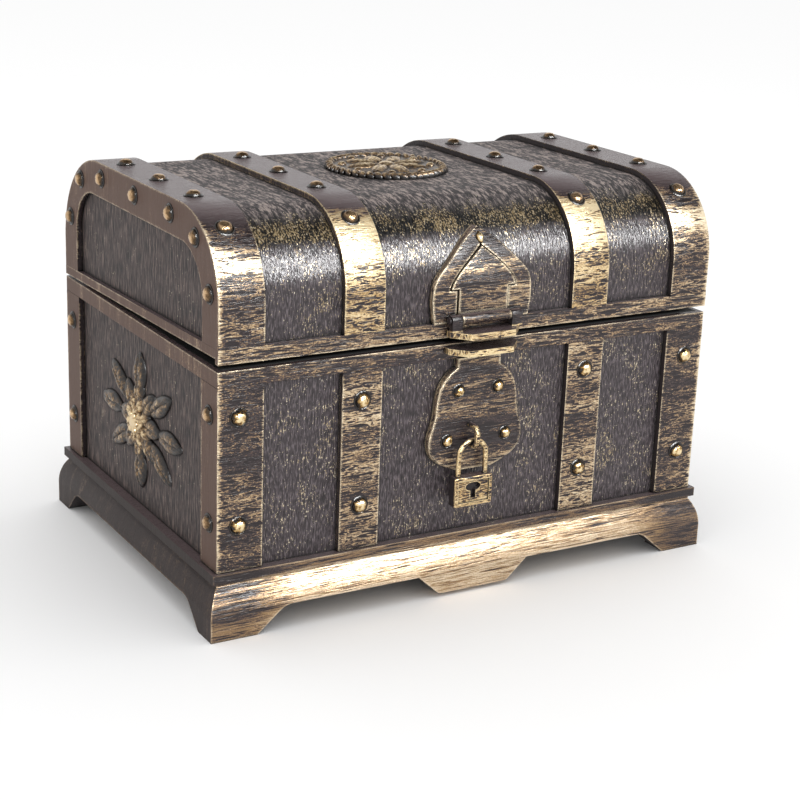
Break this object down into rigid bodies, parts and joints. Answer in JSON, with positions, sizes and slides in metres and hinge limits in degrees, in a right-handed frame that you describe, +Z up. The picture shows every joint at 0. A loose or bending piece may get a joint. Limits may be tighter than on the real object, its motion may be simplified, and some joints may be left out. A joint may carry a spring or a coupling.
{
  "type": "treasure chest box",
  "caption": "Small strapped treasure chest box with a domed hinged lid, a hasp flap, and a padlock that hangs on its lock plate.",
  "frame": {"origin": "bottom centre of the chest, on the surface that it stands on", "axes": "+Z up, -Y the lock side, +X to the right when the lock is faced"},
  "size_m": [0.14, 0.107, 0.0986],
  "materials": {
    "panel": "matt, grained",
    "strap": "dry-brushed antique gold over black",
    "plinth": "dry-brushed antique gold over black",
    "rivet": "antiqued",
    "relief": "antiqued relief",
    "lock": "antiqued, brushed",
    "pin": "drawn"
  },
  "bodies": {
    "box": {"plinth": "plinth", "plinth_screws": "pin", "body_shell": "panel", "body_top_rail": "strap", "body_corner_strap_front_left": "strap", "body_corner_strap_front_right": "strap", "body_corner_strap_back_left": "strap", "body_corner_strap_back_right": "strap", "body_front_strap_left": "strap", "body_front_strap_right": "strap", "body_back_strap_left": "strap", "body_back_strap_right": "strap", "body_front_rivets": "rivet", "body_back_rivets": "rivet", "body_left_rivets": "rivet", "body_right_rivets": "rivet", "left_emblem": "relief", "right_emblem": "relief", "lock_plate": "lock", "lock_plate_rivets": "rivet", "lock_staple": "lock", "catch_lip": "strap", "hinge_body_leaf_left": "lock", "hinge_body_leaf_right": "lock", "hinge_pin_left": "pin", "hinge_pin_right": "pin", "hinge_body_rivets": "rivet"},
    "lid": {"lid_shell": "panel", "lid_rim_rail": "strap", "lid_end_strap_left": "strap", "lid_end_strap_right": "strap", "lid_hoop_left": "strap", "lid_hoop_right": "strap", "lid_hoop_rivets": "rivet", "lid_left_rivets": "rivet", "lid_right_rivets": "rivet", "lid_medallion": "relief", "arch_plate": "lock", "hasp_leaf": "lock", "hasp_pin": "pin", "arch_stud": "rivet", "hinge_lid_leaf_left": "lock", "hinge_lid_leaf_right": "lock", "hinge_lid_rivets": "rivet"},
    "flap": {"hasp_flap": "lock"},
    "shackle": {"padlock_shackle": "lock"},
    "padlock": {"padlock_body": "lock"}
  },
  "joints": [
    {"name": "lid_hinge", "type": "hinge", "parent": "box", "child": "lid", "pos_m": [0, 0.0513, 0.06348], "axis": [-1, 0, 0], "range_deg": [0, 100]},
    {"name": "flap_hinge", "type": "hinge", "parent": "lid", "child": "flap", "pos_m": [0, -0.04935, 0.0693], "axis": [-1, 0, 0], "range_deg": [0, 90]},
    {"name": "padlock_swing", "type": "hinge", "parent": "box", "child": "shackle", "pos_m": [-0.0019, -0.04965, 0.03924], "axis": [-1, 0, 0], "range_deg": [-2, 75]},
    {"name": "padlock_release", "type": "slide", "parent": "shackle", "child": "padlock", "axis": [0, 0, -1], "range_m": [0, 0.0026]}
  ]
}
